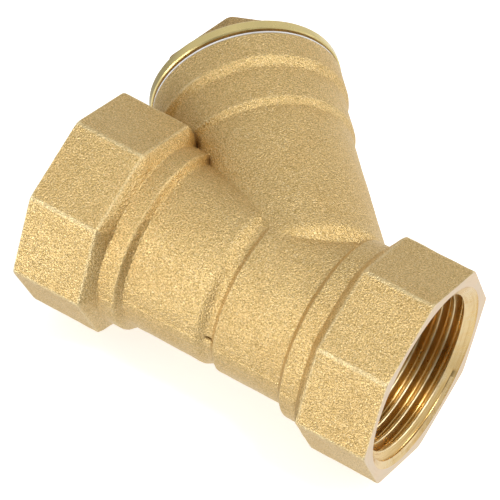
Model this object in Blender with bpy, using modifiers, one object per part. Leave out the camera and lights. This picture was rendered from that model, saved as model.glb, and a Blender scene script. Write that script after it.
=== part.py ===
"""Y strainer for a 1 inch pipe run: brass body, screwed cap, cap gasket and strainer screen.

Frame: X is the run axis with the inlet at +X, +Y is the side the leg leans out of,
and Z is the normal of the plane that holds run and leg. The origin is the middle of
the run axis. The leg leans towards the outlet at -X.
"""
import math

import bmesh
import bpy
from mathutils import Matrix, Vector

TO_METRES = 0.001           # solids are shaped in millimetres and finished in metres

# Run
HALF_LENGTH = 36.2          # centre of the run to an end face
ACROSS_FLATS = 38.0         # octagonal wrench ends
BARREL_R = 15.8
COLLAR_R = 17.3
COLLAR_START = 16.6         # collar edge nearest the middle
OCT_FOOT = 20.4             # where the wrench end meets the collar
OCT_SLOPE_TOP = 22.8        # where the slope reaches the corners of the octagon
SOCKET_MAJOR_R = 16.62      # G1 internal thread
SOCKET_MINOR_R = 15.15
SOCKET_PITCH = 2.309
SOCKET_MOUTH_R = 17.55
THREAD_DEPTH = 11.6
RELIEF_R = 16.95
SOCKET_DEPTH = 13.0
WATERWAY_R = 12.0
GROOVE_DEPTH = 0.62         # shallow groove round the middle of the barrel
GROOVE_EDGES = (-1.1, 0.9, 1.6, 2.6)    # outlet rim, floor, floor, inlet rim, along the run
FLASH_HALF_LENGTH = 14.5    # trimmed flash line on the barrel
FLASH_WIDTH, FLASH_DEPTH = 2.2, 1.0
FLASH_SUNK = 0.25           # depth of the flash's middle under the barrel's surface
FAR = 160.0                 # reach of a cutter that only has to go past the body

# Leg
LEG_ANGLE = 135.0           # from +X, in the XY plane
LEG_START = 12.5            # where the leg axis meets the run axis
LEG_R = 16.25
FOOT_LOW, FOOT_TOP = 4.7, 8.2   # the leg tapers into the run between these
FOOT_R = 15.15
RING_1_R = 16.95
RING_2_R = 17.85
MOUTH = 51.2                # end face of the leg, along its axis
LEG_BORE_R = 13.0
CHAMBER_TOP = 41.6          # bottom of the cap's thread recess
RECESS_R = 15.4
CAP_MAJOR_R = 15.1          # M30 x 2 internal thread
CAP_MINOR_R = 13.95
CAP_PITCH = 2.0
SEAT = -1.0                 # screen seat, along the leg axis
SEAT_THICK = 2.5
SEAT_GUIDE_R = 12.25
SEAT_HOLE_R = 10.9

# Gasket, cap and screen, along the leg axis
GASKET_LOW, GASKET_HIGH = 51.3, 51.85
GASKET_IN_R, GASKET_OUT_R = 15.3, 17.8
FLANGE_LOW, FLANGE_HIGH = 52.1, 54.25
FLANGE_R = 17.95
HEX_TOP = 59.5
HEX_AF = 25.0
HEX_TURN = 23.0             # direction of a hexagon corner about the leg axis
PLUG_LOW = 43.3
PLUG_R = 14.75
PLUG_ROOT_R = 13.6
SCREEN_POCKET_R = 12.3
SCREEN_POCKET_TOP = 49.4
SCREEN_LOW, SCREEN_HIGH = -0.7, 49.1
SCREEN_R = 12.0
SCREEN_WALL = 0.5
SCREEN_COLUMNS = 17
SCREEN_ROWS = 9
SCREEN_BAND = 2.4           # plain band at each end of the screen
HOLE_SHARE = 0.62           # hole width as a share of the spacing

TURN_STEPS = 48
THREAD_STEPS = 28


def new_collection(name, helper=False):
    group = bpy.data.collections.new(name)
    bpy.context.scene.collection.children.link(group)
    group.hide_render = helper
    return group


def clear():
    for item in list(bpy.data.objects):
        bpy.data.objects.remove(item, do_unlink=True)


def mesh_object(name, data, group):
    item = bpy.data.objects.new(name, data)
    group.objects.link(item)
    if group.hide_render:
        item.hide_render = True
        item.display_type = "WIRE"
    return item


def baked(item):
    """The item's own modifiers turned into plain mesh, with its placing kept."""
    bpy.context.view_layer.update()
    graph = bpy.context.evaluated_depsgraph_get()
    data = bpy.data.meshes.new_from_object(item.evaluated_get(graph))
    item.modifiers.clear()
    item.data = data
    return item


def placed(item, matrix):
    item.data.transform(matrix)
    item.data.update()
    return item


def faced(item):
    """Makes every face of a closed mesh point outwards."""
    work = bmesh.new()
    work.from_mesh(item.data)
    bmesh.ops.recalc_face_normals(work, faces=work.faces)
    if work.calc_volume(signed=True) < 0:
        bmesh.ops.reverse_faces(work, faces=work.faces)
    work.to_mesh(item.data)
    work.free()
    return item


def turned(name, profile, steps=TURN_STEPS):
    """A solid of revolution about Z. Each profile point is (height, radius), top first."""
    data = bpy.data.meshes.new(name)
    points = [(r, 0.0, h) for h, r in profile]
    edges = [(i, i + 1) for i in range(len(points) - 1)]
    data.from_pydata(points, edges, [])
    item = mesh_object(name, data, helpers)
    screw = item.modifiers.new("turn", "SCREW")
    screw.axis = "Z"
    screw.angle = math.tau
    screw.steps = screw.render_steps = steps
    screw.use_merge_vertices = True
    screw.merge_threshold = 0.0001
    return faced(baked(item))


def helix(name, section, pitch, turns, low, steps=THREAD_STEPS):
    """A closed bar wound about Z. Each section point is (height, radius), in a loop."""
    data = bpy.data.meshes.new(name)
    points = [(r, 0.0, low + h) for h, r in section]
    count = len(points)
    data.from_pydata(points, [(i, (i + 1) % count) for i in range(count)], [])
    item = mesh_object(name, data, helpers)
    screw = item.modifiers.new("wind", "SCREW")
    screw.axis = "Z"
    screw.angle = math.tau
    screw.screw_offset = pitch
    screw.iterations = turns
    screw.steps = screw.render_steps = steps
    screw.use_merge_vertices = True
    screw.merge_threshold = 0.0001
    item = baked(item)
    work = bmesh.new()
    work.from_mesh(item.data)
    rim = [edge for edge in work.edges if edge.is_boundary]
    bmesh.ops.holes_fill(work, edges=rim, sides=0)
    work.to_mesh(item.data)
    work.free()
    return faced(item)


def prism(name, sides, across_flats, low, high, corner_at):
    """A prism about Z with a corner in the direction corner_at, in degrees."""
    radius = across_flats / 2 / math.cos(math.pi / sides)
    bpy.ops.mesh.primitive_cylinder_add(
        vertices=sides, radius=radius, depth=high - low,
        location=(0, 0, 0))
    item = bpy.context.object
    item.name = name
    for group in list(item.users_collection):
        group.objects.unlink(item)
    helpers.objects.link(item)
    item.hide_render = True
    item.display_type = "WIRE"
    first = math.degrees(math.atan2(item.data.vertices[0].co.y, item.data.vertices[0].co.x))
    placed(item, Matrix.Rotation(math.radians(corner_at - first), 4, "Z"))
    return placed(item, Matrix.Translation((0, 0, (low + high) / 2)))


def combine(item, other, operation):
    step = item.modifiers.new(operation.lower(), "BOOLEAN")
    step.operation = operation
    step.solver = "EXACT"
    step.object = other
    return baked(item)


def cut(item, other):
    return combine(item, other, "DIFFERENCE")


def join(item, other):
    return combine(item, other, "UNION")


def keep(item, other):
    return combine(item, other, "INTERSECT")


def colour(item, name, base, metallic, roughness):
    material = bpy.data.materials.new(name)
    material.use_nodes = True
    shader = material.node_tree.nodes["Principled BSDF"]
    shader.inputs["Base Color"].default_value = (*base, 1.0)
    shader.inputs["Metallic"].default_value = metallic
    shader.inputs["Roughness"].default_value = roughness
    item.data.materials.clear()
    item.data.materials.append(material)


def finished(item, name, origin=Vector((0, 0, 0))):
    """Moves a finished solid to the object's own collection, with its origin on its axis."""
    work = bmesh.new()
    work.from_mesh(item.data)
    bmesh.ops.remove_doubles(work, verts=work.verts, dist=0.0005)
    bmesh.ops.dissolve_degenerate(work, edges=work.edges, dist=0.0005)
    work.to_mesh(item.data)
    work.free()
    item.name = name
    item.data.name = name
    item.data.transform(Matrix.Scale(TO_METRES, 4) @ Matrix.Translation(-origin))
    item.location = origin * TO_METRES
    helpers.objects.unlink(item)
    strainer.objects.link(item)
    item.hide_render = False
    item.display_type = "TEXTURED"
    return item


clear()
strainer = new_collection("y_strainer")
helpers = new_collection("cutters", helper=True)

TO_RUN = Matrix.Rotation(math.radians(90), 4, "Y")      # Z to +X
leg_direction = Vector((math.cos(math.radians(LEG_ANGLE)),
                        math.sin(math.radians(LEG_ANGLE)), 0))
side_direction = Vector((leg_direction.y, -leg_direction.x, 0))        # towards the inlet
TO_LEG = Matrix((
    (side_direction.x, 0, leg_direction.x, LEG_START),
    (side_direction.y, 0, leg_direction.y, 0),
    (0, -1, 0, 0),
    (0, 0, 0, 1),
))


# Body, outside -----------------------------------------------------------------------

half = [
    (HALF_LENGTH - 0.4, COLLAR_R), (COLLAR_START + 1.3, COLLAR_R),
    (COLLAR_START + 0.6, COLLAR_R - 0.15), (COLLAR_START + 0.15, COLLAR_R - 0.6),
    (COLLAR_START - 0.1, BARREL_R + 0.3), (COLLAR_START - 0.7, BARREL_R),
]
outlet_rim, floor_low, floor_high, inlet_rim = GROOVE_EDGES
groove = [(inlet_rim, BARREL_R), (floor_high, BARREL_R - GROOVE_DEPTH),
          (floor_low, BARREL_R - GROOVE_DEPTH), (outlet_rim, BARREL_R)]
outline = [(HALF_LENGTH - 0.4, 0)] + half + groove
outline += [(-h, r) for h, r in reversed(half)] + [(-HALF_LENGTH + 0.4, 0)]
body = placed(turned("run", outline), TO_RUN)

slope = ((OCT_FOOT, COLLAR_R - 0.4), (OCT_SLOPE_TOP, 20.9))
for side in (1, -1):
    end = prism("wrench_end", 8, ACROSS_FLATS, OCT_FOOT, HALF_LENGTH, 0)
    lathe = turned("lathe_end", [
        (HALF_LENGTH, 0), (HALF_LENGTH, 20.1), (HALF_LENGTH - 0.45, 20.9),
        (slope[1][0], slope[1][1]), (slope[0][0], slope[0][1]), (slope[0][0], 0)], 58)
    placed(end, TO_RUN)
    placed(lathe, TO_RUN)
    if side < 0:
        flip = Matrix.Diagonal((-1, -1, 1, 1))
        placed(end, flip)
        placed(lathe, flip)
    body = join(body, keep(end, lathe))

leg = placed(turned("leg", [
    (MOUTH, 0), (MOUTH, RING_2_R - 0.2), (MOUTH - 0.2, RING_2_R),
    (46.3, RING_2_R), (45.3, RING_2_R - 0.25), (44.5, RING_1_R + 0.1), (43.9, RING_1_R),
    (37.6, RING_1_R), (36.9, RING_1_R - 0.1), (36.0, LEG_R + 0.15), (35.2, LEG_R),
    (FOOT_TOP, LEG_R), (FOOT_LOW, FOOT_R), (1.0, FOOT_R - 1.1), (1.0, 0)]), TO_LEG)
body = join(body, leg)

# Trimmed flash line on the side opposite the leg.
flash = prism("flash", 4, FLASH_DEPTH, -FLASH_HALF_LENGTH, FLASH_HALF_LENGTH, 45)
placed(flash, Matrix.Diagonal((FLASH_WIDTH / FLASH_DEPTH, 1.0, 1.0, 1.0)))
placed(flash, TO_RUN)
placed(flash, Matrix.Translation(Vector((0, -BARREL_R + FLASH_SUNK, 0))))
body = join(body, flash)

# Body, inside ------------------------------------------------------------------------

for side in (1, -1):
    flip = Matrix.Diagonal((side, side, 1, 1))
    bottom = HALF_LENGTH - SOCKET_DEPTH
    thread_end = HALF_LENGTH - THREAD_DEPTH
    socket = turned("socket", [
        (HALF_LENGTH + 0.64, 0), (HALF_LENGTH + 0.64, SOCKET_MOUTH_R + 0.96),
        (HALF_LENGTH - 1.6, SOCKET_MINOR_R),
        (thread_end, SOCKET_MINOR_R), (thread_end - 0.3, RELIEF_R),
        (bottom, RELIEF_R), (bottom, 0)])
    body = cut(body, placed(placed(socket, TO_RUN), flip))

leg_bore = turned("leg_bore", [
    (MOUTH + 0.6, 0), (MOUTH + 0.6, CAP_MAJOR_R + 0.95),
    (MOUTH - 1.2, CAP_MINOR_R), (CHAMBER_TOP + 2.0, CAP_MINOR_R),
    (CHAMBER_TOP + 1.7, RECESS_R), (CHAMBER_TOP, RECESS_R),
    (CHAMBER_TOP - 0.6, LEG_BORE_R), (SEAT + 2.0, LEG_BORE_R),
    (SEAT + 1.8, SEAT_GUIDE_R), (SEAT, SEAT_GUIDE_R), (SEAT, SEAT_HOLE_R),
    (SEAT - SEAT_THICK - 1.5, SEAT_HOLE_R), (SEAT - SEAT_THICK - 1.5, 0)], 50)
body = cut(body, placed(leg_bore, TO_LEG))

# Waterways: the inlet one opens into the screen, the outlet one into the chamber round it.
plane_box = prism("inlet_side", 4, FAR, -FAR, SEAT - SEAT_THICK, 45)
inlet_way = placed(turned("inlet_way", [
    (HALF_LENGTH - SOCKET_DEPTH + 1, 0), (HALF_LENGTH - SOCKET_DEPTH + 1, WATERWAY_R),
    (2.0, WATERWAY_R), (2.0, 0)], 46), TO_RUN)
inlet_way = keep(inlet_way, placed(plane_box, TO_LEG))
body = cut(body, inlet_way)

plane_box = prism("outlet_side", 4, FAR, SEAT + 1.4, FAR, 45)
outlet_way = placed(turned("outlet_way", [
    (6.0, 0), (6.0, WATERWAY_R), (-HALF_LENGTH + SOCKET_DEPTH - 1, WATERWAY_R),
    (-HALF_LENGTH + SOCKET_DEPTH - 1, 0)], 46), TO_RUN)
outlet_way = keep(outlet_way, placed(plane_box, TO_LEG))
body = cut(body, outlet_way)

# Threads
flank = math.tan(math.radians(27.5))
root = 0.2
foot = root + (SOCKET_MAJOR_R - SOCKET_MINOR_R + 0.3) * flank
section = [(-foot, SOCKET_MINOR_R - 0.3), (-root, SOCKET_MAJOR_R),
           (root, SOCKET_MAJOR_R), (foot, SOCKET_MINOR_R - 0.3)]
for side in (1, -1):
    groove = helix("socket_thread", section, SOCKET_PITCH, 6, HALF_LENGTH - 12.3)
    body = cut(body, placed(placed(groove, TO_RUN), Matrix.Diagonal((side, side, 1, 1))))

root = 0.175
foot = root + (CAP_MAJOR_R - CAP_MINOR_R + 0.2) * math.tan(math.radians(30))
section = [(-foot, CAP_MINOR_R - 0.2), (-root, CAP_MAJOR_R),
           (root, CAP_MAJOR_R), (foot, CAP_MINOR_R - 0.2)]
groove = helix("cap_groove", section, CAP_PITCH, 5, CHAMBER_TOP + 0.9)
body = cut(body, placed(groove, TO_LEG))

finished(body, "strainer_body")
colour(body, "forged_brass", (0.62, 0.44, 0.18), 1.0, 0.45)

# Cap ---------------------------------------------------------------------------------

cap = turned("cap_lathe", [
    (FLANGE_HIGH, 0), (FLANGE_HIGH, FLANGE_R - 0.5), (FLANGE_HIGH - 0.5, FLANGE_R),
    (FLANGE_LOW, FLANGE_R), (FLANGE_LOW, PLUG_ROOT_R - 0.1), (FLANGE_LOW - 1.6, PLUG_ROOT_R - 0.1),
    (FLANGE_LOW - 2.0, PLUG_R), (PLUG_LOW + 0.9, PLUG_R), (PLUG_LOW, PLUG_R - 0.9),
    (PLUG_LOW, 0)])
root = 0.109
foot = root + (PLUG_R - PLUG_ROOT_R + 0.2) * math.tan(math.radians(30))
cap_ridge = [(-foot, PLUG_R + 0.2), (-root, PLUG_ROOT_R),
             (root, PLUG_ROOT_R), (foot, PLUG_R + 0.2)]
# The cap's groove runs half a pitch from the body's, so that ridge and groove mesh.
groove = helix("plug_groove", cap_ridge, CAP_PITCH, 5, CHAMBER_TOP + 0.9 - CAP_PITCH / 2)
cap = cut(cap, groove)
hexagon = prism("hexagon", 6, HEX_AF, FLANGE_HIGH - 1.0, HEX_TOP, HEX_TURN)
chamfer = turned("hexagon_turning", [
    (HEX_TOP, 0), (HEX_TOP, HEX_AF / 2 + 1.3), (HEX_TOP - 0.6, HEX_AF / 2 + 2.1),
    (FLANGE_HIGH - 1.5, HEX_AF / 2 + 2.1), (FLANGE_HIGH - 1.5, 0)], 48)
cap = join(cap, keep(hexagon, chamfer))
pocket = turned("pocket", [
    (SCREEN_POCKET_TOP, 0), (SCREEN_POCKET_TOP, SCREEN_POCKET_R - 0.6),
    (SCREEN_POCKET_TOP - 0.6, SCREEN_POCKET_R),
    (PLUG_LOW + 0.7, SCREEN_POCKET_R), (PLUG_LOW, SCREEN_POCKET_R + 0.5),
    (PLUG_LOW - 1, SCREEN_POCKET_R + 0.5), (PLUG_LOW - 1, 0)], 48)
cap = cut(cap, pocket)
axis_point = TO_LEG @ Vector((0, 0, GASKET_LOW))
finished(placed(cap, TO_LEG), "cap", axis_point)
colour(cap, "machined_brass", (0.72, 0.54, 0.20), 1.0, 0.28)

# Gasket ------------------------------------------------------------------------------

gasket = turned("gasket_ring", [
    (GASKET_HIGH, GASKET_IN_R), (GASKET_HIGH, GASKET_OUT_R - 0.08),
    (GASKET_HIGH - 0.08, GASKET_OUT_R), (GASKET_LOW, GASKET_OUT_R),
    (GASKET_LOW, GASKET_IN_R), (GASKET_HIGH, GASKET_IN_R)])
finished(placed(gasket, TO_LEG), "cap_gasket", axis_point)
colour(gasket, "white_ptfe", (0.9, 0.9, 0.88), 0.0, 0.5)

# Screen: perforated sheet rolled into a tube, with a plain lap along the seam ----------

circumference = math.tau * (SCREEN_R - SCREEN_WALL / 2)
cell = circumference / (SCREEN_COLUMNS + 1)             # one column is the plain lap
row = (SCREEN_HIGH - SCREEN_LOW - 2 * SCREEN_BAND) / SCREEN_ROWS
work = bmesh.new()


def sheet_face(corners):
    work.faces.new([work.verts.new((x, 0, z)) for x, z in corners])


for column in range(SCREEN_COLUMNS + 1):
    x0, x1 = column * cell, (column + 1) * cell
    xm = (x0 + x1) / 2
    levels = [SCREEN_LOW, SCREEN_LOW + SCREEN_BAND]
    levels += [SCREEN_LOW + SCREEN_BAND + row * (i + 1) for i in range(SCREEN_ROWS)]
    levels += [SCREEN_HIGH]
    for index in range(len(levels) - 1):
        z0, z1 = levels[index], levels[index + 1]
        zm = (z0 + z1) / 2
        if column == SCREEN_COLUMNS or index in (0, len(levels) - 2):
            sheet_face([(x0, z0), (x1, z0), (x1, z1), (x0, z1)])
            continue
        hx, hz = cell * HOLE_SHARE / 2, row * HOLE_SHARE / 2
        ring = [(xm, zm - hz), (xm + hx, zm), (xm, zm + hz), (xm - hx, zm)]
        square = [(x0, z0), (x1, z0), (x1, z1), (x0, z1)]
        for k in range(4):
            sheet_face([square[k], square[(k + 1) % 4], ring[k]])
            sheet_face([square[(k + 1) % 4], ring[(k + 1) % 4], ring[k]])
bmesh.ops.remove_doubles(work, verts=work.verts, dist=0.0005)
turn = math.tau / circumference
for vertex in work.verts:
    angle = vertex.co.x * turn - math.pi / 2
    middle = SCREEN_R - SCREEN_WALL / 2
    vertex.co.x, vertex.co.y = middle * math.cos(angle), middle * math.sin(angle)
bmesh.ops.remove_doubles(work, verts=work.verts, dist=0.0005)
bmesh.ops.recalc_face_normals(work, faces=work.faces)
data = bpy.data.meshes.new("screen_sheet")
work.to_mesh(data)
work.free()
screen = mesh_object("screen_sheet", data, helpers)
wall = screen.modifiers.new("wall", "SOLIDIFY")
wall.thickness = SCREEN_WALL
wall.offset = 0.0
screen = baked(screen)
finished(placed(screen, TO_LEG), "screen", axis_point)
colour(screen, "stainless_steel", (0.62, 0.62, 0.6), 1.0, 0.3)
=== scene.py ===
"""Looks of the Y strainer: the visible shapes, finishes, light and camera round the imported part.

Shapes are worked out in millimetres in the part's own frame and finished in metres.
X is the run axis with the inlet at +X, +Y is the side the leg leans out of, and the
leg's own axis starts on the run axis and leans towards the outlet.
"""
import math

import bmesh
import bpy
import numpy as np
from mathutils import Matrix, Vector, noise


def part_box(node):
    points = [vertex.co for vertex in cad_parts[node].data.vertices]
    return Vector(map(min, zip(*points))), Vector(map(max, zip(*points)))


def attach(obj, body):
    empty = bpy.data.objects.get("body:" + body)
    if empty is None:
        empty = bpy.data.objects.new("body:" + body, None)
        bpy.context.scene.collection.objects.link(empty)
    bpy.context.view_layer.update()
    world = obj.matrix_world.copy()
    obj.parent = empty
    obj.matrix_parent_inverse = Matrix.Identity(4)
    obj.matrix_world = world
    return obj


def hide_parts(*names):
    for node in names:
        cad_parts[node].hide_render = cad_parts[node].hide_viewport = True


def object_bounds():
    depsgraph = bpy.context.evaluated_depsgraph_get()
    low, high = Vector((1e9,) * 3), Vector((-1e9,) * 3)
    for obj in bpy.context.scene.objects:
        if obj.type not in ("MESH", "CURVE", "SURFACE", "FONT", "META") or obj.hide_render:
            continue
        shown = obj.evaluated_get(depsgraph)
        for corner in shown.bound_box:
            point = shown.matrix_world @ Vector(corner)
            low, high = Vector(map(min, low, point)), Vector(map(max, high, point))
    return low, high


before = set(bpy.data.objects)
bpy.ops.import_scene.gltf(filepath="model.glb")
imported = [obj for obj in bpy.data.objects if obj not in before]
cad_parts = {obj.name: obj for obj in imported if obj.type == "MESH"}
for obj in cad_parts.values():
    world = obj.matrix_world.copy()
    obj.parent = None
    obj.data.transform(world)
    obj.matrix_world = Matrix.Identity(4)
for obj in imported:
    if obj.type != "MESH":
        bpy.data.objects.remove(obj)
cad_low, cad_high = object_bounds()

MM = 0.001

# Run, outside. "Along" is counted from the middle towards either end.
HALF_LENGTH = 36.2
ACROSS_FLATS = 38.0
CORNER_ROUND = 1.2
END_BEVEL_R, END_BEVEL_SLOPE, END_BEVEL_ROUND = 20.4, 1.4, 0.3
BARREL_R, COLLAR_R = 15.8, 17.3
COLLAR_STEP = (15.95, 17.3)                   # along, from the barrel up to the collar
SHOULDER_LOW, SHOULDER_HIGH = 20.45, 22.6     # along, the octagon grows out of the collar
SHOULDER_SUNK, SHOULDER_CURVE = 0.25, 1.45
GROOVE_DEPTH, GROOVE_IN, GROOVE_OUT = 0.74, (-1.2, 0.9), (1.55, 2.75)
LIP_HEIGHT, LIP_UP, LIP_DOWN = 0.08, (-2.9, -1.3), (-1.3, -0.7)
SEAM_HEIGHT, SEAM_EDGE, SEAM_END = 0.14, (0.95, 1.5), (19.8, 20.6)
NICK_AT, NICK_X, NICK_DEPTH = math.radians(172.8), 1.4, 0.9
NICK_HALF_LENGTH, NICK_HALF_WIDTH = 0.8, 0.28
# Socket threads (G1)
SOCKET_MAJOR_R, SOCKET_MINOR_R, SOCKET_PITCH = 16.62, 15.15, 2.309
SOCKET_MOUTH_R, SOCKET_MOUTH_DEPTH = 17.55, 1.6
MOUTH_PAST, MOUTH_WIDER = 0.64, 0.96          # the mouth's cone runs on past the end face
THREAD_DEPTH, RELIEF_R, SOCKET_DEPTH = 11.6, 16.95, 13.0
THREAD_TURNS, THREAD_START = 6, 12.3
WATERWAY_R = 12.0
# Leg: heights are along its own axis
LEG_START = 12.5
LEG_ANGLE = math.radians(135)
MOUTH = 51.2
MOUTH_EDGE, MOUTH_EDGE_DROP = 0.35, 0.3
FOOT_R, LEG_R, RING_1_R, RING_2_R = 15.0, 16.25, 16.95, 17.85
FOOT_STEP, RING_1_STEP, RING_2_STEP = (4.4, 8.1), (35.2, 36.9), (43.7, 45.9)
LEG_BORE_R, CHAMBER_TOP, RECESS_R = 13.0, 41.6, 15.4
CAP_MAJOR_R, CAP_MINOR_R, CAP_PITCH, CAP_TURNS = 15.1, 13.95, 2.0, 5
CAP_THREAD_START = CHAMBER_TOP + 0.9
SEAT, SEAT_THICK, SEAT_GUIDE_R, SEAT_HOLE_R = -1.0, 2.5, 12.25, 10.9
SEAT_GUIDE_HIGH = 1.8
# Gasket, cap and screen
GASKET_LOW, GASKET_HIGH, GASKET_IN_R, GASKET_OUT_R = 51.3, 51.72, 15.3, 17.68
FLANGE_LOW, FLANGE_HIGH, FLANGE_R = 52.1, 54.25, 17.95
HEX_TOP, HEX_AF, HEX_TURN, HEX_ROUND = 59.5, 24.6, 22.0, 0.7
PLUG_LOW, PLUG_R, PLUG_ROOT_R = 43.3, 14.75, 13.6
POCKET_R, POCKET_TOP = 12.3, 49.4
SCREEN_LOW, SCREEN_HIGH, SCREEN_R, SCREEN_WALL = -0.7, 49.1, 12.0, 0.5
SCREEN_COLUMNS, SCREEN_LAP_COLUMNS, SCREEN_ROWS, SCREEN_BAND = 40, 2, 26, 2.4
SCREEN_HOLE, SCREEN_STAGGER = 0.31, 0.12      # shares of one cell of the sheet

# how strongly ridges are lightened: partly edge wear, partly painted highlight
WEAR_AND_HIGHLIGHT_EVERYWHERE, WEAR_AND_HIGHLIGHT_SHOULDERS, WEAR_AND_HIGHLIGHT_WRENCH = 0.15, 0.3, 0.45
CAP_SIDE_Y = 25                               # only the leg's end and the cap are past it
FILLET_ROUNDS, FAR_OFF = 6, 9.0
METRIC_FLANK = math.tan(math.radians(30))
BEYOND = 60                                   # further out than any surface of the part

leg_direction = np.array([math.cos(LEG_ANGLE), math.sin(LEG_ANGLE), 0.0])
leg_side = np.array([leg_direction[1], -leg_direction[0], 0.0])
leg_origin = np.array([LEG_START, 0.0, 0.0])
up = np.array([0.0, 0.0, 1.0])
TO_LEG = Matrix(((leg_side[0], 0, leg_direction[0], LEG_START),
                 (leg_side[1], 0, leg_direction[1], 0),
                 (0, -1, 0, 0), (0, 0, 0, 1)))
TO_RUN = Matrix.Rotation(math.radians(90), 4, "Y")
HALF_TURN = Matrix.Diagonal((-1, -1, 1, 1))


# Mesh helpers ------------------------------------------------------------------------

def linked(name, data):
    item = bpy.data.objects.new(name, data)
    bpy.context.scene.collection.objects.link(item)
    return item


def from_arrays(name, vertices, faces):
    data = bpy.data.meshes.new(name)
    data.from_pydata(vertices.tolist(), [], faces)
    return linked(name, data)


def outward(item):
    work = bmesh.new()
    work.from_mesh(item.data)
    bmesh.ops.recalc_face_normals(work, faces=work.faces)
    if work.calc_volume(signed=True) < 0:
        bmesh.ops.reverse_faces(work, faces=work.faces)
    work.to_mesh(item.data)
    work.free()
    return item


def skin(name, rings):
    """A closed surface through rings of equally many points, closed at both ends by fans."""
    rows, count = len(rings), len(rings[0])
    vertices = np.concatenate(list(rings) + [rings[0].mean(0)[None], rings[-1].mean(0)[None]])
    faces = []
    for row in range(rows - 1):
        base = row * count
        for j in range(count):
            k = (j + 1) % count
            faces.append((base + j, base + k, base + count + k, base + count + j))
    last = (rows - 1) * count
    for j in range(count):
        k = (j + 1) % count
        faces.append((k, j, rows * count))
        faces.append((last + j, last + k, rows * count + 1))
    return outward(from_arrays(name, vertices, faces))


def circles(profile, angle):
    """One ring of points about Z for each profile point of (height, radius)."""
    return [np.stack([r * np.cos(angle), r * np.sin(angle), np.full(len(angle), h)], 1)
            for h, r in profile]


def turned(name, profile, steps=160, start=0.0):
    """A solid of revolution about Z. Each profile point is (height, radius), none on the axis."""
    return skin(name, circles(profile, np.linspace(0, math.tau, steps, endpoint=False) + start))


def ringed(name, profile, steps=192):
    """A closed ring about Z through a looped profile of (height, radius)."""
    rings = circles(profile, np.linspace(0, math.tau, steps, endpoint=False))
    faces = []
    for row in range(len(profile)):
        after = (row + 1) % len(profile)
        for j in range(steps):
            k = (j + 1) % steps
            faces.append((row * steps + j, row * steps + k,
                          after * steps + k, after * steps + j))
    return outward(from_arrays(name, np.concatenate(rings), faces))


def helix(name, section, pitch, turns, low, steps=96):
    """A closed bar wound about Z. Each section point is (height, radius), in a loop."""
    rings = []
    for i in range(int(turns * steps) + 1):
        angle = math.tau * i / steps
        rings.append(np.array([(r * math.cos(angle), r * math.sin(angle),
                                low + h + pitch * i / steps) for h, r in section]))
    return skin(name, rings)


def square_bar(name, half_width, low, high):
    """A square bar about Z with its sides along X and Y."""
    radius = half_width / math.cos(math.pi / 4)
    return turned(name, [(low, radius), (high, radius)], 4, math.radians(45))


def placed(item, matrix):
    item.data.transform(matrix)
    item.data.update()
    return item


def applied(item):
    """Turns what an item's modifiers make of it into its own mesh."""
    bpy.context.view_layer.update()
    graph = bpy.context.evaluated_depsgraph_get()
    data = bpy.data.meshes.new_from_object(item.evaluated_get(graph))
    item.modifiers.clear()
    item.data = data
    return item


def combine(item, other, operation):
    step = item.modifiers.new(operation, "BOOLEAN")
    step.operation = operation
    step.solver = "MANIFOLD"
    step.object = other
    applied(item)
    bpy.data.objects.remove(other, do_unlink=True)
    return item


def cut(item, other):
    return combine(item, other, "DIFFERENCE")


def join(item, other):
    return combine(item, other, "UNION")


def keep(item, other):
    return combine(item, other, "INTERSECT")


def values_of(elements, key, width=1, kind=float):
    """One property of all of a mesh's vertices, edges, loops or faces, as an array."""
    flat = np.empty(len(elements) * width, kind)
    elements.foreach_get(key, flat)
    return flat.reshape(-1, width) if width > 1 else flat


def ease(x, low, high):
    t = np.clip((x - low) / (high - low), 0, 1)
    return t * t * (3 - 2 * t)


def mark_ridges(item, low, high, weight):
    """Keeps on each point how sharply the surface turns outwards there, from 0 to 1. The materials
    lighten these ridges, partly as edge wear and partly as painted highlight.
    """
    data = item.data
    faces, edges, points = len(data.polygons), len(data.edges), len(data.vertices)
    centre = values_of(data.polygons, "center", 3)
    normal = values_of(data.polygons, "normal", 3)
    area = values_of(data.polygons, "area")
    size = values_of(data.polygons, "loop_total", kind=int)
    loop_edge = values_of(data.loops, "edge_index", kind=int)
    loop_point = values_of(data.loops, "vertex_index", kind=int)
    ends = values_of(data.edges, "vertices", 2, int)
    place = values_of(data.vertices, "co", 3)

    # the two faces at each edge, and how far the surface bends outwards over it
    loop_face = np.repeat(np.arange(faces), size)
    order = np.argsort(loop_edge, kind="stable")
    start = np.searchsorted(loop_edge[order], np.arange(edges))
    first, second = loop_face[order[start]], loop_face[order[start + 1]]
    length = np.linalg.norm(place[ends[:, 0]] - place[ends[:, 1]], axis=1)
    bend = np.arccos(np.clip((normal[first] * normal[second]).sum(1), -1, 1))
    away = ((centre[second] - centre[first]) * normal[first]).sum(1)
    bend = np.where(away < 0, bend, -bend) * length / 4

    # the bend of a point's edges over the room round it, mixed with its neighbours' mean
    turning, room, near = np.zeros(points), np.full(points, 1e-6), np.zeros(points)
    for side in (0, 1):
        np.add.at(turning, ends[:, side], bend)
        np.add.at(near, ends[:, side], 1)
    np.add.at(room, loop_point, (area / size)[loop_face])
    value = np.clip((turning / room - low) / (high - low), 0, 1)
    mean = np.zeros(points)
    np.add.at(mean, ends[:, 0], value[ends[:, 1]])
    np.add.at(mean, ends[:, 1], value[ends[:, 0]])
    value = (0.5 * value + 0.5 * mean / near) * weight(place)
    data.attributes.new("worn_and_highlit", "FLOAT", "POINT").data.foreach_set("value", value)


def wrench_ends_first(place):
    """Lightened ridges, part edge wear and part painted highlight, are full on the wrench ends and
    their threads, less on their shoulders.
    """
    along = np.abs(place[:, 0])
    more = WEAR_AND_HIGHLIGHT_SHOULDERS * ease(along, 19.9, 20.6) + WEAR_AND_HIGHLIGHT_WRENCH * ease(along, 22.6, 23.2)
    return WEAR_AND_HIGHLIGHT_EVERYWHERE + more * (place[:, 1] < CAP_SIDE_Y)


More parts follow.
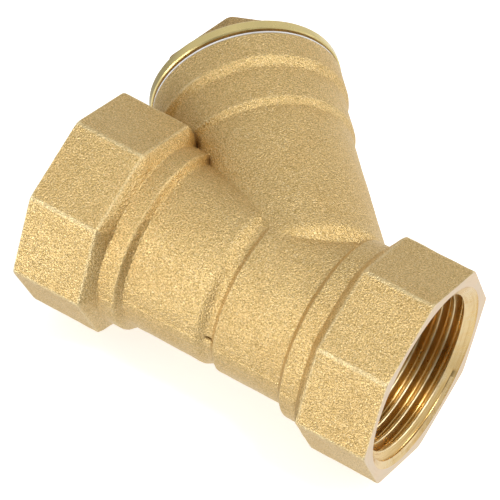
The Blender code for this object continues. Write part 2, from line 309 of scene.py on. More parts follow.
def finish_piece(item, name, body, node, materials, chooser=None, sharp=28):
    """Scales a piece to metres, shades it, gives it materials and hangs it on its body."""
    work = bmesh.new()
    work.from_mesh(item.data)
    bmesh.ops.dissolve_degenerate(work, edges=work.edges, dist=0.0008)
    bmesh.ops.triangulate(work, faces=[f for f in work.faces if len(f.verts) > 4])
    work.to_mesh(item.data)
    work.free()
    item.data.materials.clear()
    for material in materials:
        item.data.materials.append(material)
    mark_ridges(item, 0.24, 0.55, wrench_ends_first)
    faces = item.data.polygons
    if chooser is not None:
        choice = chooser(values_of(faces, "center", 3), values_of(faces, "normal", 3))
        faces.foreach_set("material_index", choice.astype(np.int32))
    item.data.transform(Matrix.Scale(MM, 4))
    faces.foreach_set("use_smooth", [True] * len(faces))
    item.data.set_sharp_from_angle(angle=math.radians(sharp))
    item.data.update()
    item.name = name
    item.data.name = name
    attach(item, body)
    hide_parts(node)
    return item


# Body, outside: the surfaces of run and leg ------------------------------------------

def octagon_radius(theta):
    """Distance from the axis to the wrench octagon with rounded corners, along theta."""
    from_corner = np.abs((theta + math.pi / 8) % (math.pi / 4) - math.pi / 8)
    centre = (ACROSS_FLATS / 2 - CORNER_ROUND) / math.cos(math.pi / 8)
    touch = math.atan2(CORNER_ROUND * math.sin(math.pi / 8),
                       centre + CORNER_ROUND * math.cos(math.pi / 8))
    flat = ACROSS_FLATS / 2 / np.cos(math.pi / 8 - from_corner)
    inside = np.clip(CORNER_ROUND ** 2 - (centre * np.sin(from_corner)) ** 2, 0, None)
    arc = centre * np.cos(from_corner) + np.sqrt(inside)
    return np.where(from_corner < touch, arc, flat)


def lowest(a, b, k):
    """The smaller of two radii, with the corner between them rounded over k."""
    h = np.clip(1 - np.abs(a - b) / k, 0, 1)
    return np.minimum(a, b) - h * h * k / 4


def run_radius(x, theta):
    """Outer radius of the run at a place along it and an angle from +Y towards +Z."""
    along = np.abs(x)
    groove = GROOVE_DEPTH * (ease(x, *GROOVE_IN) - ease(x, *GROOVE_OUT))
    lip = LIP_HEIGHT * ease(x, *LIP_UP) * (1 - ease(x, *LIP_DOWN))
    base = BARREL_R - groove + lip + (COLLAR_R - BARREL_R) * ease(along, *COLLAR_STEP)
    off_seam = np.abs(base * np.sin(theta))
    seam = SEAM_HEIGHT * (1 - ease(off_seam, *SEAM_EDGE)) * (np.cos(theta) < 0)
    nick = np.exp(-((x - NICK_X) / NICK_HALF_LENGTH) ** 4
                  - ((theta - NICK_AT) * BARREL_R / NICK_HALF_WIDTH) ** 2)
    base = base + seam * (1 - ease(along, *SEAM_END)) - NICK_DEPTH * nick
    share = np.clip((along - SHOULDER_LOW) / (SHOULDER_HIGH - SHOULDER_LOW), 0, 1)
    octagon = octagon_radius(theta)
    bevel = END_BEVEL_R + (HALF_LENGTH - along) * END_BEVEL_SLOPE
    shoulder = (COLLAR_R - SHOULDER_SUNK
                + (octagon + SHOULDER_SUNK - COLLAR_R) * (1 - (1 - share) ** SHOULDER_CURVE))
    wrench = lowest(np.where(share < 1, shoulder, octagon), bevel, END_BEVEL_ROUND)
    return np.where(along > SHOULDER_LOW, wrench, base)


def leg_radius(s):
    """Outer radius of the leg at a height along its axis."""
    foot = FOOT_R + (LEG_R - FOOT_R) * ease(s, *FOOT_STEP)
    first = (RING_1_R - LEG_R) * ease(s, *RING_1_STEP)
    second = (RING_2_R - RING_1_R) * ease(s, *RING_2_STEP)
    edge = MOUTH_EDGE_DROP * ease(s, MOUTH - MOUTH_EDGE, MOUTH) ** 2
    return foot + first + second - edge


def leg_place(points):
    """Heights of points along the leg's axis, and their distances from it."""
    local = points - leg_origin
    s = local @ leg_direction
    return s, np.linalg.norm(local - s[:, None] * leg_direction, axis=1)


def from_leg(points):
    """How far points are outside the leg's surface."""
    s, off_axis = leg_place(points)
    return np.where(s > 0, off_axis - leg_radius(s), FAR_OFF)


def from_run(points):
    """How far points are outside the run's surface."""
    across = np.hypot(points[:, 1], points[:, 2])
    return across - run_radius(points[:, 0], np.arctan2(points[:, 2], points[:, 1]))


def fillet(own, other, k):
    """How far a surface bulges where another comes within k of it."""
    h = np.clip(1 - np.abs(other - own) / k, 0, 1)
    return h * h * k / 4


def blend_width(points):
    """The leg grows out of the run with a wider blend away from the inlet side."""
    return 0.3 + 0.15 * (1 - ease(points[:, 0], -4, 6))


def filleted(radius, points_at, from_other):
    """A ring's radii, grown where the other surface comes near the ring."""
    grown = radius.copy()
    for _ in range(FILLET_ROUNDS):
        points = points_at(grown)
        bulge = fillet(grown - radius, from_other(points), blend_width(points))
        grown = 0.5 * grown + 0.5 * (radius + bulge)
    return grown


def waves(points, size, scale):
    return np.array([noise.noise(Vector(p) * scale) for p in points]) * size


def unevenness(points, size, scale, sunk):
    """Slow unevenness of a forging, in long waves and short ones half as high."""
    return waves(points, size, scale) + waves(points, size / 2, 0.7) - sunk


def stations(stretches):
    """Places through stretches of (low, high, spacing), with one at each end."""
    parts = [np.linspace(low, high, round((high - low) / spacing) + 1)
             for low, high, spacing in stretches]
    return np.unique(np.round(np.concatenate(parts), 4))


def both_sides(middle, offsets):
    """Angles in degrees at some offsets on both sides of a middle one."""
    return {round(middle + sign * offset, 3) for sign in (1, -1) for offset in offsets}


# Angles round the run stand close together at the octagon's corners, the seam and the nick.
FROM_CORNER = (0, 0.27, 0.54, 0.8, 1.07, 1.5, 2.2, 3.3, 4.9, 6.9, 9.0, 11.2, 13.5, 15.8, 18.1,
               20.3, 22.5)
FROM_SEAM = (3.9, 4.2, 4.5, 4.8, 5.2, 5.8)
FROM_NICK = (-2.2, -1.6, -1.0, -0.6, -0.3, 0, 0.3, 0.6, 1.0, 1.6)
angles = both_sides(180, FROM_SEAM) | {round(math.degrees(NICK_AT) + d, 3) for d in FROM_NICK}
for k in range(8):
    angles |= both_sides(45 * k, FROM_CORNER)
theta = np.radians([angle for angle in sorted(angles) if 0 <= angle < 360])

# Places along the run stand close together at its ends, shoulders, collars and groove.
run_stations = stations([
    (-HALF_LENGTH, -35.6, 0.2), (-35.6, -24.6, 0.75), (-24.6, -20.0, 0.22), (-20.0, -17.4, 0.5),
    (-17.4, -16.0, 0.14), (-16.0, -1.0, 0.7), (-1.0, 4.0, 0.14), (4.0, 16.0, 0.7),
    (16.0, 17.4, 0.14), (17.4, 20.0, 0.5), (20.0, 24.6, 0.22), (24.6, 35.6, 1.4),
    (35.6, HALF_LENGTH, 0.2)])


def run_points(x, radius):
    return np.stack([np.full(len(theta), x), radius * np.cos(theta), radius * np.sin(theta)], 1)


run_rings = []
for x in run_stations:
    grown = filleted(run_radius(np.full(len(theta), x), theta),
                     lambda radius: run_points(x, radius), from_leg)
    uneven = unevenness(run_points(x, grown), 0.07, 0.23, 0.05)
    run_rings.append(run_points(x, grown + uneven * ease(HALF_LENGTH - abs(x), 0, 2)))
outside = skin("run", run_rings)

# Heights up the leg stand close together at its foot, rings and mouth.
around = np.linspace(0, math.tau, 240, endpoint=False) + 0.003
outwards = np.cos(around)[:, None] * leg_side + np.sin(around)[:, None] * up
leg_stations = stations([
    (1.5, 4.5, 1.0), (4.5, 8.4, 0.3), (8.4, 34.8, 0.71), (34.8, 37.2, 0.22), (37.2, 43.4, 0.9),
    (43.4, 46.2, 0.23), (46.2, 50.8, 1.15), (50.8, MOUTH, 0.1)])


def leg_points(s, radius):
    return leg_origin + s * leg_direction + radius[:, None] * outwards


leg_rings = []
for s in leg_stations:
    grown = filleted(np.full(len(around), float(leg_radius(s))),
                     lambda radius: leg_points(s, radius), from_run)
    uneven = unevenness(leg_points(s, grown), 0.06, 0.2, 0.04)
    leg_rings.append(leg_points(s, grown + uneven * ease(MOUTH - s, 0, 1.5)))
outside = join(outside, skin("leg", leg_rings))

# The valley where run and leg meet is eased over, as the die leaves it.
VALLEY_HALF_WIDTH, VALLEY_LOW, VALLEY_HIGH = 1.1, 3, 47
points = values_of(outside.data.vertices, "co", 3)
s = leg_place(points)[0]
valley = ((np.abs(from_leg(points)) < VALLEY_HALF_WIDTH)
          & (np.abs(from_run(points)) < VALLEY_HALF_WIDTH) & (s > VALLEY_LOW) & (s < VALLEY_HIGH))
work = bmesh.new()
work.from_mesh(outside.data)
work.verts.ensure_lookup_table()
bmesh.ops.smooth_vert(work, verts=[work.verts[i] for i in np.where(valley)[0]], factor=0.5,
                      use_axis_x=True, use_axis_y=True, use_axis_z=True)
work.to_mesh(outside.data)
work.free()


# Body, inside ------------------------------------------------------------------------

def whitworth_section(pitch, minor_r, major_r, foot=0.3):
    """A thread groove: crest and root rounded alike, with straight flanks between them."""
    rounding = 0.137329 * pitch
    turns = np.radians([6.5, 18, 30, 41, 52, 62.5])
    half = [(pitch / 2 - rounding * math.sin(turns[0]), minor_r - foot)]
    half += [(pitch / 2 - rounding * math.sin(a), minor_r + rounding * (1 - math.cos(a)))
             for a in turns]
    half += [(rounding * math.sin(a), major_r - rounding * (1 - math.cos(a)))
             for a in turns[::-1]]
    return [(-h, r) for h, r in half] + half[::-1]


def metric_section(tip_half_width, tip_r, foot_r):
    """A thread groove with 30 degree flanks, from its flat tip to a foot clear of the metal."""
    foot = tip_half_width + abs(foot_r - tip_r) * METRIC_FLANK
    return [(-foot, foot_r), (-tip_half_width, tip_r), (tip_half_width, tip_r), (foot, foot_r)]


def threaded_socket():
    """The hollow of a socket along Z, open at its top."""
    bottom, thread_end = HALF_LENGTH - SOCKET_DEPTH, HALF_LENGTH - THREAD_DEPTH
    bore = turned("socket", [
        (HALF_LENGTH + MOUTH_PAST, SOCKET_MOUTH_R + MOUTH_WIDER),
        (HALF_LENGTH - SOCKET_MOUTH_DEPTH, SOCKET_MINOR_R), (thread_end, SOCKET_MINOR_R),
        (thread_end - 0.3, RELIEF_R), (bottom, RELIEF_R), (bottom, 2.0)], 192)
    section = whitworth_section(SOCKET_PITCH, SOCKET_MINOR_R, SOCKET_MAJOR_R)
    return join(bore, helix("thread", section, SOCKET_PITCH, THREAD_TURNS,
                            HALF_LENGTH - THREAD_START))


def leg_hollow():
    """The leg's thread, its relief, the screen's chamber and the seat, along Z."""
    bore = turned("leg_bore", [
        (MOUTH + 0.6, CAP_MAJOR_R + 0.95), (MOUTH - 1.2, CAP_MINOR_R),
        (CHAMBER_TOP + 2.0, CAP_MINOR_R), (CHAMBER_TOP + 1.7, RECESS_R), (CHAMBER_TOP, RECESS_R),
        (CHAMBER_TOP - 0.6, LEG_BORE_R), (SEAT + 2.0, LEG_BORE_R),
        (SEAT + SEAT_GUIDE_HIGH, SEAT_GUIDE_R), (SEAT, SEAT_GUIDE_R), (SEAT, SEAT_HOLE_R),
        (SEAT - SEAT_THICK - 1.5, SEAT_HOLE_R)], 168)
    section = metric_section(0.175, CAP_MAJOR_R, CAP_MINOR_R - 0.2)
    return join(bore, helix("cap_groove", section, CAP_PITCH, CAP_TURNS, CAP_THREAD_START))


def waterway(name, start, end, side_low, side_high):
    """A bore along the run, ended by the partition that lies across the leg's axis."""
    way = placed(turned(name, [(start, WATERWAY_R), (end, WATERWAY_R)], 150), TO_RUN)
    side = placed(square_bar(name + "_side", BEYOND, side_low, side_high), TO_LEG)
    return keep(way, side)


inlet_socket = placed(threaded_socket(), TO_RUN)
outlet_socket = placed(placed(threaded_socket(), TO_RUN), HALF_TURN)
cavity = join(inlet_socket, outlet_socket)
cavity = join(cavity, placed(leg_hollow(), TO_LEG))
way_end = HALF_LENGTH - SOCKET_DEPTH + 1
cavity = join(cavity, waterway("inlet_way", way_end, 2.0, -BEYOND, SEAT - SEAT_THICK))
cavity = join(cavity, waterway("outlet_way", 6.0, -way_end, SEAT + 1.4, BEYOND))
body = cut(outside, cavity)


# Materials ---------------------------------------------------------------------------

def new_material(name):
    material = bpy.data.materials.new(name)
    material.use_nodes = True
    return material, material.node_tree, material.node_tree.nodes["Principled BSDF"]


def node(tree, kind, **values):
    made = tree.nodes.new(kind)
    for key, value in values.items():
        if key in made.inputs:
            made.inputs[key].default_value = value
        else:
            setattr(made, key, value)
    return made


def place_of(tree):
    return node(tree, "ShaderNodeTexCoord").outputs["Object"]


def noise_at(tree, place, scale, detail=2.0, rough=0.5):
    made = node(tree, "ShaderNodeTexNoise", Scale=scale, Detail=detail, Roughness=rough)
    tree.links.new(place, made.inputs["Vector"])
    return made.outputs["Fac"]


def ramp(tree, value, stops):
    made = tree.nodes.new("ShaderNodeValToRGB")
    for element, (at, colour) in zip(made.color_ramp.elements, stops):
        element.position = at
        element.color = (*colour, 1.0)
    tree.links.new(value, made.inputs["Fac"])
    return made.outputs["Color"]


def mixed(tree, kind, factor, a, b):
    made = node(tree, "ShaderNodeMix", data_type="RGBA", blend_type=kind)
    for value, index in ((factor, 0), (a, 6), (b, 7)):
        if isinstance(value, bpy.types.NodeSocket):
            tree.links.new(value, made.inputs[index])
        elif index == 0:
            made.inputs[0].default_value = value
        else:
            made.inputs[index].default_value = (*value, 1.0)
    return made.outputs[2]


def ranged(tree, value, low, high, to_low, to_high):
    made = node(tree, "ShaderNodeMapRange")
    for index, number in zip((1, 2, 3, 4), (low, high, to_low, to_high)):
        made.inputs[index].default_value = number
    tree.links.new(value, made.inputs[0])
    return made.outputs[0]


def bumped(tree, height, distance, strength, under=None):
    made = node(tree, "ShaderNodeBump", Strength=strength, Distance=distance)
    tree.links.new(height, made.inputs["Height"])
    if under is not None:
        tree.links.new(under, made.inputs["Normal"])
    return made.outputs["Normal"]


def reckoned(tree, operation, a, b):
    """One sum on two values, each a number or another node's output."""
    made = node(tree, "ShaderNodeMath", operation=operation)
    for value, entry in zip((a, b), made.inputs):
        if isinstance(value, bpy.types.NodeSocket):
            tree.links.new(value, entry)
        else:
            entry.default_value = value
    return made.outputs[0]


def turning_streaks(tree, fine, slow):
    """Streaks left by a tool that went round the run axis: fine across, slow along the cut."""
    split = tree.nodes.new("ShaderNodeSeparateXYZ")
    tree.links.new(place_of(tree), split.inputs[0])
    x, y, z = split.outputs
    square = reckoned(tree, "ADD", reckoned(tree, "MULTIPLY", y, y),
                      reckoned(tree, "MULTIPLY", z, z))
    radius = reckoned(tree, "MULTIPLY", reckoned(tree, "POWER", square, 0.5), fine)
    along = reckoned(tree, "MULTIPLY", x, fine)
    angle = reckoned(tree, "MULTIPLY", reckoned(tree, "ARCTAN2", z, y), slow)
    both = tree.nodes.new("ShaderNodeCombineXYZ")
    for value, entry in zip((along, radius, angle), both.inputs):
        tree.links.new(value, entry)
    return noise_at(tree, both.outputs[0], 1.0, 3.0, 0.6)


def ridges(tree, most):
    """The kept sharpness of the ridges, broken up a little, from 0 to most: edge wear together
    with painted highlight.
    """
    made = node(tree, "ShaderNodeAttribute", attribute_name="worn_and_highlit")
    patches = noise_at(tree, place_of(tree), 700, 2.0, 0.6)
    patchy = ranged(tree, patches, 0.35, 0.6, 0.45 * most, most)
    return reckoned(tree, "MULTIPLY", made.outputs["Fac"], patchy)


def sheltered(tree, reach):
    """1 in the open, down to 0 in deep corners, where the blasted brass paints in shade."""
    made = node(tree, "ShaderNodeAmbientOcclusion", samples=6, Distance=reach)
    made.only_local = True
    return ranged(tree, made.outputs["AO"], 0.2, 0.75, 0.0, 1.0)


def blasted_brass(name, dark, light, wear_and_highlight):
    """Shot-blasted brass: fine peened grain, cloudy tone, slightly dulled patches."""
    material, tree, shader = new_material(name)
    place = place_of(tree)
    grain = noise_at(tree, place, 3800, 2.0, 0.6)
    fleck = noise_at(tree, place, 4600, 1.0, 0.5)
    cloud = noise_at(tree, place, 90, 3.0, 0.55)
    tone = ramp(tree, grain, [(0.34, dark), (0.66, light)])
    tone = mixed(tree, "MULTIPLY", ranged(tree, cloud, 0.35, 0.7, 0.0, 0.28), tone,
                 (0.86, 0.80, 0.72))
    shine = ranged(tree, fleck, 0.58, 0.72, 0.0, 0.45)
    tone = mixed(tree, "MIX", shine, tone, (1.0, 0.89, 0.60))
    # ridges lightened to pale cream: partly edge wear, partly a painted highlight along edges and
    # rings
    tone = mixed(tree, "MIX", ridges(tree, wear_and_highlight), tone, (1.0, 0.90, 0.58))
    # painted shade: the colour darkens towards brown in creases, corners and valleys, where shade
    # falls
    painted_crevice_shade = reckoned(tree, "SUBTRACT", 1.0, sheltered(tree, 0.0018))
    tone = mixed(tree, "MULTIPLY", painted_crevice_shade, tone, (0.30, 0.20, 0.10))
    tree.links.new(tone, shader.inputs["Base Color"])
    shader.inputs["Metallic"].default_value = 1.0
    tree.links.new(ranged(tree, cloud, 0.3, 0.7, 0.40, 0.52), shader.inputs["Roughness"])
    normal = bumped(tree, noise_at(tree, place, 3400, 1.5, 0.5), 0.00028, 1.0)
    normal = bumped(tree, noise_at(tree, place, 1500, 2.0, 0.5), 0.00008, 0.2, normal)
    tree.links.new(normal, shader.inputs["Normal"])
    return material


def turned_brass(name, base, roughness, streaks, wear_and_highlight):
    """Lathe-cut brass: feed marks about the run axis, with the share of dark streaks."""
    material, tree, shader = new_material(name)
    place = place_of(tree)
    marks = turning_streaks(tree, 2200, 2.2)
    cloud = noise_at(tree, place, 160, 3.0, 0.55)
    darker = tuple(c * share for c, share in zip(base, (0.80, 0.70, 0.52)))
    tone = ramp(tree, cloud, [(0.35, tuple(c * 0.9 for c in base)), (0.65, base)])
    tone = mixed(tree, "MIX", ranged(tree, marks, 0.48, 0.62, 0.0, streaks), tone, darker)
    # ridges and crests lightened and roughened: partly edge wear, partly a painted highlight along
    # them
    worn_and_highlit = ridges(tree, wear_and_highlight)
    tone = mixed(tree, "MIX", worn_and_highlit, tone, (1.0, 0.91, 0.64))
    tree.links.new(tone, shader.inputs["Base Color"])
    shader.inputs["Metallic"].default_value = 1.0
    rough = ranged(tree, cloud, 0.3, 0.7, roughness * 0.8, roughness * 1.25)
    tree.links.new(reckoned(tree, "ADD", rough, reckoned(tree, "MULTIPLY", worn_and_highlit, 0.25)),
                   shader.inputs["Roughness"])
    tree.links.new(bumped(tree, marks, 0.00002, 0.4), shader.inputs["Normal"])
    return material


def white_ptfe():
    """Matt white plastic, faintly cloudy."""
    material, tree, shader = new_material("white_ptfe_gasket")
    place = place_of(tree)
    cloud = noise_at(tree, place, 260, 3.0, 0.6)
    tree.links.new(ramp(tree, cloud, [(0.3, (0.62, 0.63, 0.64)), (0.7, (0.74, 0.75, 0.76))]),
                   shader.inputs["Base Color"])
    tree.links.new(ranged(tree, cloud, 0.3, 0.7, 0.35, 0.55), shader.inputs["Roughness"])
    tree.links.new(bumped(tree, noise_at(tree, place, 2200), 0.00002, 0.3),
                   shader.inputs["Normal"])
    return material


def stainless_sheet():
    """Rolled stainless sheet with fine brushing."""
    material, tree, shader = new_material("stainless_screen")
    place = place_of(tree)
    cloud = noise_at(tree, place, 300, 3.0, 0.6)
    tree.links.new(ramp(tree, cloud, [(0.3, (0.50, 0.50, 0.49)), (0.7, (0.68, 0.68, 0.66))]),
                   shader.inputs["Base Color"])
    shader.inputs["Metallic"].default_value = 1.0
    tree.links.new(ranged(tree, cloud, 0.3, 0.7, 0.22, 0.36), shader.inputs["Roughness"])
    stroke = node(tree, "ShaderNodeTexWave", Scale=1500.0, Distortion=3.0, Detail=2.0)
    tree.links.new(place, stroke.inputs["Vector"])
    tree.links.new(bumped(tree, stroke.outputs["Fac"], 0.000006, 0.4), shader.inputs["Normal"])
    return material


def pale_paper():
    """The floor: nearly even white, lit a little from within."""
    material, tree, shader = new_material("pale_paper")
    tone = ramp(tree, noise_at(tree, place_of(tree), 3.0),
                [(0.3, (0.93, 0.93, 0.93)), (0.7, (0.95, 0.95, 0.95))])
    tree.links.new(tone, shader.inputs["Base Color"])
    shader.inputs["Roughness"].default_value = 0.9
    shader.inputs["Emission Color"].default_value = (1.0, 1.0, 1.0, 1.0)
    shader.inputs["Emission Strength"].default_value = 0.5
    return material


casting = blasted_brass("forged_brass_blasted", dark=(0.48, 0.325, 0.11),
                        light=(0.88, 0.64, 0.30), wear_and_highlight=0.7)
faced = turned_brass("forged_brass_faced", (0.82, 0.63, 0.43), roughness=0.34, streaks=0.25,
                     wear_and_highlight=0.3)
threaded = turned_brass("forged_brass_thread", (0.90, 0.65, 0.28), roughness=0.27, streaks=0.6,
                        wear_and_highlight=0.75)
coned = turned_brass("forged_brass_cone", (0.84, 0.59, 0.25), roughness=0.24, streaks=1.0,
                     wear_and_highlight=0.6)
flange_brass = turned_brass("machined_brass_flange", (0.87, 0.71, 0.31), roughness=0.25,
                            streaks=0.1, wear_and_highlight=0.3)
cap_brass = blasted_brass("machined_brass_blasted", dark=(0.36, 0.23, 0.08),
                          light=(0.70, 0.49, 0.22), wear_and_highlight=0.12)
BLASTED, FACED, THREADED, CONED = range(4)    # the body's materials in the order it has them
HEXAGON, FLANGE, PLUG = range(3)              # and the cap's


def body_finish(centre, normal):
    """Blasted outside, faced ends and rim, turned bores and threads, and the mouths' cones."""
    along = np.abs(centre[:, 0])
    across = np.hypot(centre[:, 1], centre[:, 2])
    s, off_axis = leg_place(centre)
    end = along > HALF_LENGTH - 0.01
    rim = (s > MOUTH - 0.01) & (off_axis < RING_2_R + 0.05)
    socket = ((along > HALF_LENGTH - SOCKET_DEPTH - 0.05)
              & (across < SOCKET_MOUTH_R + 0.15) & ~end)
    chamber = ((off_axis < LEG_BORE_R + 0.1) & (s > SEAT - SEAT_THICK - 2)
               & ((s > 9) | (across < 15.1)))       # low down, not the run's own outside
    threads = (off_axis < RECESS_R + 0.1) & (s > CHAMBER_TOP - 0.7)
    waterways = across < WATERWAY_R + 0.1
    mouth_cone = (socket & (along > HALF_LENGTH - SOCKET_MOUTH_DEPTH - 0.1)
                  & (np.abs(normal[:, 0]) > 0.5))
    result = np.full(len(centre), BLASTED)
    result[((chamber | threads) & (s < MOUTH)) | waterways | socket] = THREADED
    result[end | rim] = FACED
    result[mouth_cone] = CONED
    return result


def cap_finish(centre, normal):
    """Blasted hexagon, turned flange and turned plug, told apart by height."""
    s = leg_place(centre)[0]
    result = np.full(len(centre), HEXAGON)
    result[s < FLANGE_HIGH + 0.01] = FLANGE
    result[s < FLANGE_LOW + 0.01] = PLUG
    return result


finish_piece(body, "strainer_body_casting", "body", "strainer_body",
             [casting, faced, threaded, coned], body_finish)


# Cap ---------------------------------------------------------------------------------

def rounded_hexagon(height, across_flats):
    """One ring of the hexagon: an arc of points at each corner, then points along the flat."""
    centre = (across_flats / 2 - HEX_ROUND) / math.cos(math.pi / 6)

    def on_corner(corner_angle, a):
        return [centre * math.cos(corner_angle) + HEX_ROUND * math.cos(a),
                centre * math.sin(corner_angle) + HEX_ROUND * math.sin(a), height]

    points = []
    for k in range(6):
        middle, after = (math.radians(HEX_TURN + 60 * j) for j in (k, k + 1))
        points += [on_corner(middle, middle + math.radians(d)) for d in np.linspace(-30, 30, 9)]
        flat_faces = middle + math.radians(30)
        start, end = (np.array(on_corner(j, flat_faces)) for j in (middle, after))
        points += [(start + (end - start) * t).tolist() for t in np.linspace(0, 1, 10)[1:-1]]
    return np.array(points)


def hexagon_head():
    """The hexagon with its top edge softened and its corners turned off."""
    hexagon = skin("hexagon", [rounded_hexagon(height, width) for height, width in (
        (FLANGE_HIGH - 1.0, HEX_AF), (FLANGE_HIGH + 0.15, HEX_AF), (HEX_TOP - 0.45, HEX_AF),
        (HEX_TOP - 0.12, HEX_AF - 0.2), (HEX_TOP, HEX_AF - 0.7))])
    crown = turned("crown", [
        (HEX_TOP + 0.01, HEX_AF / 2 + 1.3), (HEX_TOP - 0.6, HEX_AF / 2 + 2.1),
        (FLANGE_HIGH - 1.5, HEX_AF / 2 + 2.1)], 190)
    return keep(hexagon, crown)


cap = turned("cap_turning", [
    (FLANGE_HIGH, FLANGE_R - 0.7), (FLANGE_HIGH, FLANGE_R - 0.55),
    (FLANGE_HIGH - 0.12, FLANGE_R - 0.25),
    (FLANGE_HIGH - 0.35, FLANGE_R - 0.06), (FLANGE_HIGH - 0.6, FLANGE_R),
    (FLANGE_LOW + 0.2, FLANGE_R), (FLANGE_LOW, FLANGE_R - 0.2),
    (FLANGE_LOW, PLUG_ROOT_R - 0.1), (FLANGE_LOW - 1.6, PLUG_ROOT_R - 0.1),
    (FLANGE_LOW - 2.0, PLUG_R), (PLUG_LOW + 0.9, PLUG_R), (PLUG_LOW, PLUG_R - 0.9)], 224)
cap = cut(cap, helix("plug_groove", metric_section(0.109, PLUG_ROOT_R, PLUG_R + 0.2), CAP_PITCH,
                     CAP_TURNS, CAP_THREAD_START - CAP_PITCH / 2))
cap = join(cap, hexagon_head())
cap = cut(cap, turned("pocket", [
    (POCKET_TOP, POCKET_R - 0.25), (POCKET_TOP - 0.25, POCKET_R), (PLUG_LOW + 0.7, POCKET_R),
    (PLUG_LOW, POCKET_R + 0.5), (PLUG_LOW - 1, POCKET_R + 0.5)], 180))
finish_piece(placed(cap, TO_LEG), "screwed_cap", "cap", "cap",
             [cap_brass, flange_brass, threaded], cap_finish)

# Gasket ------------------------------------------------------------------------------

gasket = ringed("gasket_ring", [
    (GASKET_HIGH, GASKET_IN_R + 0.06), (GASKET_HIGH, GASKET_OUT_R - 0.5),
    (GASKET_HIGH - 0.14, GASKET_OUT_R - 0.1), (GASKET_HIGH - 0.2, GASKET_OUT_R),
    (GASKET_LOW + 0.1, GASKET_OUT_R), (GASKET_LOW, GASKET_OUT_R - 0.08),
    (GASKET_LOW, GASKET_IN_R), (GASKET_HIGH - 0.06, GASKET_IN_R)], 240)
finish_piece(placed(gasket, TO_LEG), "cap_gasket_ring", "gasket", "cap_gasket",
             [white_ptfe()])


# Screen: perforated sheet rolled into a tube, with a plain strip along the seam --------

def perforated_tube(radius):
    """A tube without thickness, plain at both ends and along its seam, with round holes."""
    work = bmesh.new()

    def face(*corners):
        work.faces.new([work.verts.new((x, 0, z)) for x, z in corners])

    columns = SCREEN_COLUMNS + SCREEN_LAP_COLUMNS
    cell = math.tau * radius / columns
    row = (SCREEN_HIGH - SCREEN_LOW - 2 * SCREEN_BAND) / SCREEN_ROWS
    hole = SCREEN_HOLE * min(cell, row)
    for column in range(columns):
        x0, x1 = column * cell, (column + 1) * cell
        for index in range(-1, SCREEN_ROWS + 1):
            low_band, high_band = index < 0, index == SCREEN_ROWS
            z0 = SCREEN_LOW if low_band else SCREEN_LOW + SCREEN_BAND + row * index
            z1 = SCREEN_LOW + SCREEN_BAND if low_band else (SCREEN_HIGH if high_band else z0 + row)
            square = [(x0, z0), (x1, z0), (x1, z1), (x0, z1)]
            if column >= SCREEN_COLUMNS or low_band or high_band:
                face(*square)
                continue
            xm = (x0 + x1) / 2 + cell * (SCREEN_STAGGER if index % 2 else -SCREEN_STAGGER)
            zm = (z0 + z1) / 2
            ring = [(xm + hole * math.cos(math.radians(45 * k - 112.5)),
                     zm + hole * math.sin(math.radians(45 * k - 112.5))) for k in range(8)]
            for k in range(4):
                a, b, c = ring[2 * k], ring[(2 * k + 1) % 8], ring[(2 * k + 2) % 8]
                face(square[k], square[(k + 1) % 4], b, a)
                face(square[(k + 1) % 4], c, b)
    bmesh.ops.remove_doubles(work, verts=work.verts, dist=0.0005)
    for vertex in work.verts:
        angle = vertex.co.x / radius - math.pi / 2
        vertex.co.x, vertex.co.y = radius * math.cos(angle), radius * math.sin(angle)
    bmesh.ops.remove_doubles(work, verts=work.verts, dist=0.0005)
    bmesh.ops.recalc_face_normals(work, faces=work.faces)
    data = bpy.data.meshes.new("screen_sheet")
    work.to_mesh(data)
    work.free()
    return linked("screen_sheet", data)


screen = perforated_tube(SCREEN_R - SCREEN_WALL / 2)
wall = screen.modifiers.new("wall", "SOLIDIFY")
wall.thickness = SCREEN_WALL
wall.offset = 0.0
finish_piece(placed(applied(screen), TO_LEG), "strainer_screen", "screen", "screen",
             [stainless_sheet()])

# Floor, light and camera: from here on in metres ---------------------------------------

FLOOR_REACH, FLOOR_GAP = 6.0, 0.0002
floor_data = bpy.data.meshes.new("floor")
floor_data.from_pydata([(-FLOOR_REACH, -FLOOR_REACH, 0), (FLOOR_REACH, -FLOOR_REACH, 0),
                        (FLOOR_REACH, FLOOR_REACH, 0), (-FLOOR_REACH, FLOOR_REACH, 0)],
                       [], [(0, 1, 2, 3)])
floor_data.materials.append(pale_paper())
floor = linked("floor", floor_data)
floor.location = (0, 0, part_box("strainer_body")[0].z - FLOOR_GAP)
floor.visible_glossy = False

world = bpy.data.worlds.new("studio")
bpy.context.scene.world = world
world.use_nodes = True
tree = world.node_tree


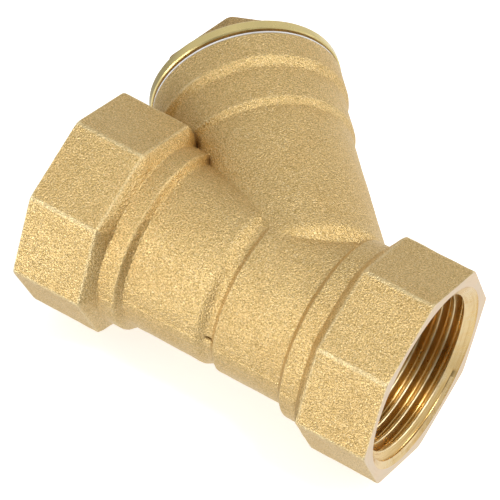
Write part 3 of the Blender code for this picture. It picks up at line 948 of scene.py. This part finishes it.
def towards(direction):
    """How nearly a look into the surroundings goes in a direction, 1 for straight at it."""
    made = node(tree, "ShaderNodeVectorMath", operation="DOT_PRODUCT")
    tree.links.new(node(tree, "ShaderNodeTexCoord").outputs["Generated"], made.inputs[0])
    made.inputs[1].default_value = Vector(direction).normalized()
    return made.outputs["Value"]


# The studio is pale all round, darker in front and low at the outlet's side, and lit from below.
front_dark = ranged(tree, towards((0.70, -0.70, 0.14)), 0.68, 0.94, 0.70, 0.08)
side_dark = ranged(tree, towards((-0.85, 0.1, -0.5)), 0.75, 0.97, 1.0, 0.4)
under_bright = ranged(tree, towards((0, 0, -1)), 0.12, 0.5, 0.0, 0.3)
strength = reckoned(tree, "MULTIPLY", reckoned(tree, "ADD", front_dark, under_bright), side_dark)
background = tree.nodes["Background"]
background.inputs["Color"].default_value = (1.0, 1.0, 1.0, 1.0)
tree.links.new(strength, background.inputs["Strength"])

LIGHT_DISTANCE = 0.9
centre = (cad_low + cad_high) / 2


def softbox(name, direction, size, watts):
    """A round soft light that looks at the middle of the part."""
    data = bpy.data.lights.new(name, "AREA")
    data.shape = "DISK"
    data.size = size
    data.energy = watts
    light = linked(name, data)
    direction = Vector(direction).normalized()
    light.location = centre + direction * LIGHT_DISTANCE
    light.rotation_euler = direction.to_track_quat("Z", "Y").to_euler()


softbox("front_box", (-0.32, -0.93, 0.2), size=0.5, watts=4.1)
softbox("corner_box", (0.44, -0.08, 0.89), size=0.2, watts=3.0)
softbox("end_box", (0.74, 0.62, 0.24), size=0.35, watts=1.6)

CAMERA_AT = Vector((180.69, -298.18, 455.28)) * MM
CAMERA_RIGHT = (0.84024, 0.54178, 0.02160)
CAMERA_UP = (-0.43793, 0.65462, 0.61620)
CAMERA_BACK = (0.3197, -0.52719, 0.78728)
view = bpy.data.cameras.new("camera")
view.sensor_width = 36.0
view.lens = 235.4
camera = linked("camera", view)
camera.matrix_world = Matrix([(CAMERA_RIGHT[i], CAMERA_UP[i], CAMERA_BACK[i], CAMERA_AT[i])
                              for i in range(3)] + [(0, 0, 0, 1)])
bpy.context.scene.camera = camera
bpy.context.scene.view_settings.view_transform = "Standard"
bpy.context.scene.view_settings.look = "None"

bpy.context.view_layer.update()
